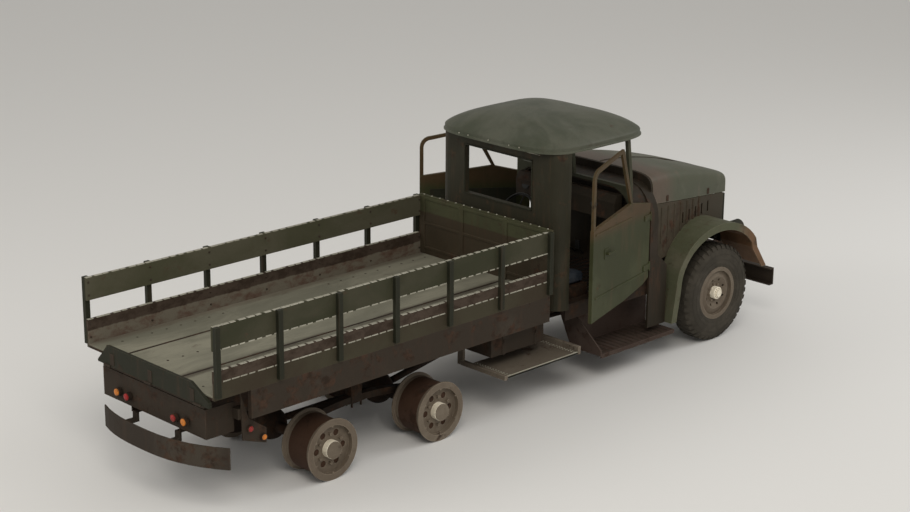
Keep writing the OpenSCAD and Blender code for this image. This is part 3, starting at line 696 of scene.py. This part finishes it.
def roof_point(s, t, z):
    """A point of the roof's rounded outline at angle t, shrunk by s, at height z."""
    c, n = math.cos(t), math.sin(t)
    x = ROOF_MID + s * ROOF_A * math.copysign(abs(c) ** ROOF_K, c)
    y = s * ROOF_B * math.copysign(abs(n) ** ROOF_K, n)
    return P(x, y, z)


def dented(p, spots, inward):
    """Moves p towards inward by the depth of every dent that it lies in."""
    for at, radius, depth in spots:
        d = (p - at).length / radius
        if d < 1:
            p = p + inward * depth * (1 - d * d) ** 2
    return p


def make_roof(m):
    """The domed roof as one smooth shell with a gutter and dents above the rear window."""
    around, up, wall = 144, 26, 0.024
    dents = [(P(4.62, -0.30, 2.84), 0.24, 0.020), (P(4.60, 0.22, 2.82), 0.20, 0.016),
             (P(4.60, 0.62, 2.78), 0.16, 0.012), (P(5.10, -0.55, 2.92), 0.30, 0.012),
             (P(5.50, -0.2, 2.96), 0.35, 0.008)]

    def dome(s):
        return ROOF_Z + ROOF_LIP + (ROOF_TOP - ROOF_LIP) * (1 - s ** 2.6) ** 0.8

    shares = [math.sin(math.pi / 2 * (1 - i / up)) for i in range(up)]
    rim = 0.988
    outer = [(1.0, ROOF_Z), (1.0, ROOF_Z + 0.012), (rim, ROOF_Z + 0.020), (rim, ROOF_Z + ROOF_LIP - 0.006)]
    outer += [(min(s, rim), dome(s)) for s in shares]
    inner = [(min(s, rim) - wall / ROOF_A, dome(s) - wall) for s in shares[::-1] if s > 0.08]
    inner.append((1 - wall / ROOF_A, ROOF_Z))
    shape = Shape()
    angles = [2 * math.pi * i / around for i in range(around)]
    rows = []
    for k, (s, z) in enumerate(outer + inner):
        depth = 1 if k < len(outer) else 0
        ring = []
        for t in angles:
            p = roof_point(s, t, z)
            wave = 0.004 * noise.noise(p * 2.2)
            p = dented(p, dents, Vector((0.35, 0, -0.9)) * depth)
            ring.append(p + Vector((0, 0, -abs(wave))))
        rows.append([shape.bm.verts.new(p) for p in ring])
    split = len(outer)
    for k in range(len(rows)):
        j = (k + 1) % len(rows)
        if k == split - 1:
            continue
        for i in range(around):
            n = (i + 1) % around
            shape.bm.faces.new((rows[k][i], rows[k][n], rows[j][n], rows[j][i]))
    shape.bm.faces.new(rows[split - 1])
    shape.bm.faces.new(rows[split][::-1])
    shape.done("roof_shell", "chassis", [m["roof"]], "olive_paint", 40, ("cab_roof",))
    vent = Shape()
    for y in (-0.52, -0.17, 0.17, 0.52):
        vent.box(P(4.594, y - 0.09, 2.60), P(4.602, y + 0.09, 2.606))
    for y in (-0.80, -0.40, 0.0, 0.40, 0.80):
        angle = math.pi - math.asin(min(1, abs(y) / ROOF_B)) * 0.2 * (1 if y >= 0 else -1)
        p = roof_point(0.992, angle, ROOF_Z + 0.03)
        vent.rod(p, p + Vector((-0.004, 0, 0)), 0.008, 6)
    vent.done("roof_rivets", "chassis", [m["pale"]], "olive_paint")


HOOD_X0, HOOD_X1 = 6.225, 7.950
HOOD_K = 0.3


def hood_w(u):
    return lerp(0.800, 0.460, u ** 1.1)


def hood_top(u):
    return lerp(2.140, 1.790, u ** 1.7)


def lid_edge(u):
    return lerp(1.800, 1.560, u)


def hood_ring(u, t, steps):
    ring = []
    for j in range(steps + 1):
        a = j * math.pi / steps
        w, top, low = hood_w(u) - t, hood_top(u) - t, lid_edge(u)
        c = math.cos(a)
        y = w * math.copysign(abs(c) ** HOOD_K, c)
        ring.append(P(lerp(HOOD_X0, HOOD_X1, u), y, low + (top - low) * max(0.0, math.sin(a)) ** HOOD_K))
    return ring


def make_hood(m):
    """The hood's lid as a smooth shell with a middle hinge and a rolled front edge."""
    along, steps, wall = 30, 72, 0.014
    dents = [(P(6.8, -0.45, 2.02), 0.30, 0.012), (P(7.4, 0.1, 1.95), 0.28, 0.010)]
    shape = Shape()
    rings = []
    for i in range(along + 1):
        u = i / along
        outer = [dented(p, dents, Vector((0, 0, -1))) for p in hood_ring(u, 0, steps)]
        inner = hood_ring(u, wall, steps)[::-1]
        rings.append(outer + inner)
    n = 2 * (steps + 1)
    rows = shape.loops(rings, closed_ends=False)
    for row in (rows[0], rows[-1]):
        for j in range(steps):
            shape.bm.faces.new((row[j], row[j + 1], row[n - 2 - j], row[n - 1 - j]))
    shape.done("hood_shell", "hood", [m["hood"]], "olive_paint", 40, ("hood",))
    trim = Shape()
    count = 24
    for i in range(count):
        a, b = i / count, (i + 0.94) / count
        trim.rod(P(lerp(HOOD_X0 + 0.02, HOOD_X1 - 0.02, a), 0, hood_top(a) - 0.001),
                 P(lerp(HOOD_X0 + 0.02, HOOD_X1 - 0.02, b), 0, hood_top(b) - 0.001), 0.008, 8)
    for side in (1, -1):
        for u in (0.18, 0.74):
            x, y, z = lerp(HOOD_X0, HOOD_X1, u), side * (hood_w(u) + 0.001), lid_edge(u) + 0.05
            trim.box(P(x - 0.02, y - 0.007, z - 0.04), P(x + 0.02, y + 0.007, z + 0.03), soft=0.003)
    trim.done("hood_hinge_and_catches", "hood", [m["rusty"]], "rusty_steel")


def make_front_details(m):
    grille = Shape()
    for i in range(9):
        y = lerp(-0.36, 0.36, i / 8)
        grille.box(P(7.938, y - 0.012, 1.02), P(7.948, y + 0.012, 1.68), soft=0.003)
    for z in (1.0, 1.70):
        grille.box(P(7.938, -0.40, z - 0.02), P(7.949, 0.40, z + 0.02), soft=0.004)
    grille.done("grille_bars", "chassis", [m["green"]], "dark_green_paint")
    core = Shape()
    core.box(P(7.84, -0.42, 0.99), P(7.88, 0.42, 1.52))
    for i in range(40):
        y = lerp(-0.41, 0.41, i / 39)
        core.box(P(7.879, y - 0.002, 1.0), P(7.886, y + 0.002, 1.51))
    core.done("radiator_core", "chassis", [m["black"]], "rusty_steel")
    for side, word in ((1, "left"), (-1, "right")):
        make_headlamp(m, side, word)
        make_hood_ribs(m, side, word)


LAMP_Y, LAMP_Z = 0.61, 1.150


def lamp_rings(side, profile):
    """Rings about a headlamp's middle line, one for each place along x and radius in profile."""
    turns = [2 * math.pi * i / 40 for i in range(40)]
    return [[P(x, side * LAMP_Y + r * math.cos(t), LAMP_Z + r * math.sin(t)) for t in turns]
            for x, r in profile]


def make_headlamp(m, side, word):
    lamp = Shape()
    lamp.loops(lamp_rings(side, ((8.0345, 0.086), (8.044, 0.087), (8.046, 0.078), (8.042, 0.074))))
    lamp.done(f"headlamp_bezel_{word}", "chassis", [m["green"]], "lamp_glass", 30)
    lens = Shape()
    lens.loops(lamp_rings(side, ((8.036, 0.0735), (8.046, 0.068), (8.054, 0.045), (8.057, 0.015))))
    lens.done(f"headlamp_lens_{word}", "chassis", [m["glass"]], "lamp_glass", 60)


def make_hood_ribs(m, side, word):
    ribs = Shape()
    for i in range(7):
        u = lerp(0.12, 0.62, i / 6)
        x, y = lerp(HOOD_X0, HOOD_X1, u), side * hood_w(u)
        top = lerp(1.74, 1.60, u)
        ribs.box(P(x - 0.014, y - 0.009, 1.30), P(x + 0.014, y + 0.006, top), soft=0.004)
    ribs.done(f"hood_side_ribs_{word}", "chassis", [m["side"]], "rusty_steel")


# ---------- cab details ----------

HINGE = (6.074, 0.910)
OPEN = {"left": 38, "right": 13}


def door_place(word):
    """Closed-door coordinates on the left side, turned to where that door stands."""
    side = 1 if word == "left" else -1
    a = math.radians(-OPEN[word])
    c, s = math.cos(a), math.sin(a)

    def place(x, y, z):
        dx, dy = x - HINGE[0], y - HINGE[1]
        return P(HINGE[0] + c * dx - s * dy, side * (HINGE[1] + s * dx + c * dy), z)

    return place


def slab(shape, place, x0, x1, y0, y1, z0, z1, material=0):
    low = [place(x, y, z0) for x, y in ((x0, y0), (x1, y0), (x1, y1), (x0, y1))]
    high = [place(x, y, z1) for x, y in ((x0, y0), (x1, y0), (x1, y1), (x0, y1))]
    shape.loops([low, high], material=material)


def make_doors(m):
    for word in ("left", "right"):
        place = door_place(word)
        shape = Shape()
        out = 0.905
        # Belt moulding, hinges, lower pressing, lock plate and inner lining
        for x0, x1, z in ((4.83, 5.62, 1.80), (4.85, 5.98, 1.10)):
            slab(shape, place, x0, x1, out - 0.001, out + 0.006, z - 0.010, z + 0.010)
        for z in (1.15, 1.72):
            slab(shape, place, 5.93, 6.055, out - 0.001, out + 0.010, z - 0.03, z + 0.03)
            shape.rod(place(6.068, 0.912, z - 0.05), place(6.068, 0.912, z + 0.05), 0.010, 12)
        slab(shape, place, 5.03, 5.12, out - 0.001, out + 0.005, 1.49, 1.60)
        slab(shape, place, 4.90, 5.90, 0.857, 0.864, 1.10, 1.70, 1)
        slab(shape, place, 5.00, 5.16, 0.845, 0.858, 1.52, 1.56)
        shape.done(f"door_fittings_{word}", f"door_{word}", [m["door"], m["green"]], "olive_paint")


def apply_all(piece):
    """Turns a piece and its modifiers into a plain mesh."""
    graph = bpy.context.evaluated_depsgraph_get()
    made = bpy.data.meshes.new_from_object(piece.evaluated_get(graph))
    piece.modifiers.clear()
    piece.data = made


def blow_up(piece, most):
    """Swells a piece as pressed cloth, and moves no point further than most."""
    rest = [v.co.copy() for v in piece.data.vertices]
    cloth = piece.modifiers.new("cloth", "CLOTH")
    cloth.settings.use_pressure = True
    cloth.settings.uniform_pressure_force = 4
    cloth.settings.effector_weights.gravity = 0
    cloth.settings.quality = 5
    cloth.point_cache.frame_start, cloth.point_cache.frame_end = 1, 20
    scene = bpy.context.scene
    for step in range(1, 21):
        scene.frame_set(step)
    apply_all(piece)
    scene.frame_set(1)
    for v, at in zip(piece.data.vertices, rest):
        move = v.co - at
        if move.length > most:
            v.co = at + move.normalized() * most


def sew_channels(piece, low, high, channels):
    """Presses channels into the side of a pad that faces up or, on a tall pad, forwards."""
    up = 2 if high.z - low.z < 0.3 else 0
    for v in piece.data.vertices:
        if v.co[up] > (low[up] + high[up]) / 2:
            for y in channels:
                d = abs(v.co.y - y) / 0.03
                if d < 1:
                    v.co[up] -= 0.016 * (1 - d) ** 1.5


def make_cushion(name, low, high, channels, m, node):
    """A sprung cushion blown up as cloth, then sewn with channels across it."""
    inset = 0.014
    shape = Shape()
    shape.box(Vector(low) + Vector((inset,) * 3), Vector(high) - Vector((inset,) * 3), soft=0.018)
    piece = shape.done(name, "chassis", [m["cloth"]], "seat_cloth")
    bpy.context.view_layer.objects.active = piece
    remesh = piece.modifiers.new("remesh", "REMESH")
    remesh.mode = "VOXEL"
    remesh.voxel_size = 0.016
    apply_all(piece)
    blow_up(piece, 0.024)
    lo, hi = Vector(low), Vector(high)
    for v in piece.data.vertices:
        for k in range(3):
            v.co[k] = min(max(v.co[k], lo[k]), hi[k])
    sew_channels(piece, lo, hi, channels)
    smooth = piece.modifiers.new("smooth", "SUBSURF")
    smooth.levels = smooth.render_levels = 1
    apply_all(piece)
    piece.data.shade_smooth()
    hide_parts(node)


def make_seat(m):
    lo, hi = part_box("seat_cushion")
    seams = [lerp(lo.y, hi.y, i / 8) for i in range(1, 8)]
    make_cushion("seat_base_pad", lo, hi, seams, m, "seat_cushion")
    lo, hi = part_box("seat_back")
    make_cushion("seat_back_pad", (lo.x, lo.y, lo.z), (lo.x + 0.115, hi.y, hi.z), seams, m, "seat_back")


def make_dash_dials(m):
    dash = Shape()
    for y in (-0.45, 0.25, 0.42, 0.59):
        dash.rod(P(5.668, y, 1.86), P(5.655, y, 1.865), 0.055, 24)
    for y in (-0.1, -0.02, 0.06):
        dash.rod(P(5.665, y, 1.80), P(5.635, y, 1.80), 0.012, 10)
    dash.done("dash_dials", "chassis", [m["black"]], "black_plastic", 30)


def make_mat_and_pedals(m):
    floor = Shape()
    for i in range(18):
        y = lerp(-0.78, 0.78, i / 17)
        floor.box(P(5.27, y - 0.012, 0.970), P(6.17, y + 0.012, 0.975), soft=0.002)
    for y, x in ((0.30, 6.06), (0.52, 6.06), (0.18, 6.10)):
        floor.box(P(x - 0.01, y - 0.035, 1.10), P(x + 0.01, y + 0.035, 1.20), soft=0.004)
        floor.rod(P(x, y, 1.12), P(6.196, y, 1.02), 0.009, 8)
    floor.rod(P(5.55, 0.0, 0.969), P(5.42, 0.02, 1.50), 0.012, 10)
    floor.rod(P(5.42, 0.02, 1.49), P(5.415, 0.021, 1.535), 0.026, 12, dome=0.012)
    floor.done("cab_mat_and_pedals", "chassis", [m["black"]], "black_plastic")


def make_rear_window_frame(m):
    frames = Shape()
    wide, low, high = 0.505, 1.975, 2.535
    bars = ((low, 1.992, -wide, wide), (2.518, high, -wide, wide), (low, high, -wide, -0.494),
            (low, high, 0.494, wide))
    for z0, z1, y0, y1 in bars:
        frames.box(P(4.590, y0, z0), P(4.602, y1, z1), soft=0.003)
    frames.done("rear_window_frame", "chassis", [m["green"]], "dark_green_paint")


def make_step_details(m):
    rng = random.Random(11)
    for side, word in ((1, "left"), (-1, "right")):
        treads = Shape()
        low, high = sorted((side * 0.60, side * 0.975))
        for i in range(14):
            x = lerp(5.30, 6.36, i / 13)
            treads.box(P(x - 0.012, low, 0.3445), P(x + 0.012, high, 0.349), soft=0.002)
        treads.done(f"step_treads_{word}", "chassis", [m["rusty"]], "rusty_steel")
        studs = Shape()
        for edge_x in (3.700, 4.735):
            for i in range(13):
                y = side * lerp(0.56, 1.03, i / 12)
                for k in range(3):
                    x = edge_x + k * 0.028 + rng.uniform(-0.004, 0.004)
                    studs.rod(P(x, y, 0.4955), P(x, y, 0.500), 0.008, 6, dome=0.003)
        low, high = sorted((side * 1.045, side * 1.055))
        studs.box(P(3.70, low, 0.478), P(4.78, high, 0.506), soft=0.002)
        studs.done(f"tray_studs_{word}", "chassis", [m["pale"]], "brown_underbody")


def make_tank_details(m):
    tank = Shape()
    tank.rod(P(3.98, -0.74, 0.922), P(3.98, -0.74, 0.955), 0.045, 20, dome=0.006)
    for x in (3.86, 4.34):
        tank.box(P(x + 0.012, -0.838, 0.76), P(x + 0.033, -0.825, 0.80), soft=0.003)
    tank.done("tank_cap_and_clamps", "chassis", [m["rusty"]], "rusty_steel", 30)


def make_lamps(m):
    lenses, bezels = Shape(), Shape()
    for side in (1, -1):
        for y, z, colour in ((0.367, 0.862, 1), (0.523, 0.867, 0)):
            at = P(-0.001, side * y, z)
            lenses.rod(at, at + Vector((-0.014, 0, 0)), 0.034, 24, colour)
            lenses.rod(at + Vector((-0.014, 0, 0)), at + Vector((-0.022, 0, 0)), 0.034, 24, colour, 0.022)
            bezels.rod(at + Vector((0.030, 0, 0)), at + Vector((-0.004, 0, 0)), 0.043, 24)
        for x, z, colour in ((0.457, 0.790, 1), (0.612, 0.668, 0)):
            at = P(x, side * 0.9295, z)
            out = Vector((0, side, 0))
            lenses.rod(at, at + out * 0.012, 0.028, 24, colour, 0.018)
            bezels.rod(at - out * 0.020, at + out * 0.001, 0.035, 24)
    lenses.done("lamp_lenses", "chassis", [m["amber"], m["red"]], "amber_lens", 40)
    bezels.done("lamp_bezels", "chassis", [m["brown"]], "brown_underbody", 30, ("marker_lamps",))


def make_underbody(m):
    leaves = Shape()
    for side in (1, -1):
        low, high = sorted((side * 0.288, side * 0.357))
        for k in range(5):
            reach = 0.3 * (0.50 - 0.075 * k)
            leaves.box(P(FRONT_X - reach, low, 0.581), P(FRONT_X + reach, high, 0.589))
        for x in (-0.06, 0.06):
            for y in (0.283, 0.362):
                leaves.rod(P(FRONT_X + x, side * y, 0.53), P(FRONT_X + x, side * y, 0.66), 0.009, 8)
                rear_y = side * (y + 0.112)
                leaves.rod(P(BOGIE_X + x, rear_y, 0.43), P(BOGIE_X + x, rear_y, 0.58), 0.011, 8)
    leaves.done("spring_bolts", "chassis", [m["brown"]], "brown_underbody")
    frame_bolts = Shape()
    for side in (1, -1):
        for x in [0.2 + 0.19 * i for i in range(40)]:
            for z in (0.73, 0.90):
                frame_bolts.rod(P(x, side * 0.379, z), P(x, side * 0.385, z), 0.009, 6)
    frame_bolts.done("frame_rivets", "chassis", [m["brown"]], "brown_underbody")


NODE_PAINT = {
    "chassis_frame": "brown", "engine": "rusty", "driveline": "brown", "fuel_tank": "rusty",
    "exhaust": "rusty", "front_bumper": "bumper", "rear_bumper": "bumper", "rear_panel": "rusty",
    "marker_lamps": "brown",
    "leaf_springs": "brown", "front_axle": "brown", "rear_axles": "brown",
    "knuckle_left": "brown", "knuckle_right": "brown", "tyre_front_left": "tyre", "tyre_front_right": "tyre",
    "rim_front_left": "rim", "rim_front_right": "rim", "rear_wheel_left_1": "rim", "rear_wheel_left_2": "rim",
    "rear_wheel_right_1": "rim", "rear_wheel_right_2": "rim", "bed_frame": "rusty", "bed_floor": "deck",
    "side_boards_left": "boards", "side_boards_right": "boards", "stakes": "green", "headboard": "headboard",
    # The tailgate's dark green is painted shade: its rear face lies on the shadow side.
    "tailgate": "green", "cab_floor": "brown", "cab_back": "cab", "cab_roof": "roof", "cowl": "cowl",
    "windshield_frame": "olive", "dashboard": "cowl", "seat_cushion": "cloth", "seat_back": "cloth",
    "steering_column": "black", "steering_wheel": "black", "door_left": "door", "door_right": "door",
    "hood": "hood", "hood_sides": "side", "grille": "green", "fenders": "fender", "headlamps": "green",
    "running_boards": "steps", "side_trays": "tray",
}

make_camera()
make_studio()
materials = make_materials()
for node_name, paint in NODE_PAINT.items():
    paint_node(node_name, materials[paint])
make_deck(materials)
make_board_details(materials)
make_headboard_details(materials)
make_tailgate_details(materials)
make_wheels(materials)
make_roof(materials)
make_hood(materials)
make_front_details(materials)
make_doors(materials)
make_seat(materials)
make_dash_dials(materials)
make_mat_and_pedals(materials)
make_rear_window_frame(materials)
make_step_details(materials)
make_tank_details(materials)
make_lamps(materials)
make_underbody(materials)
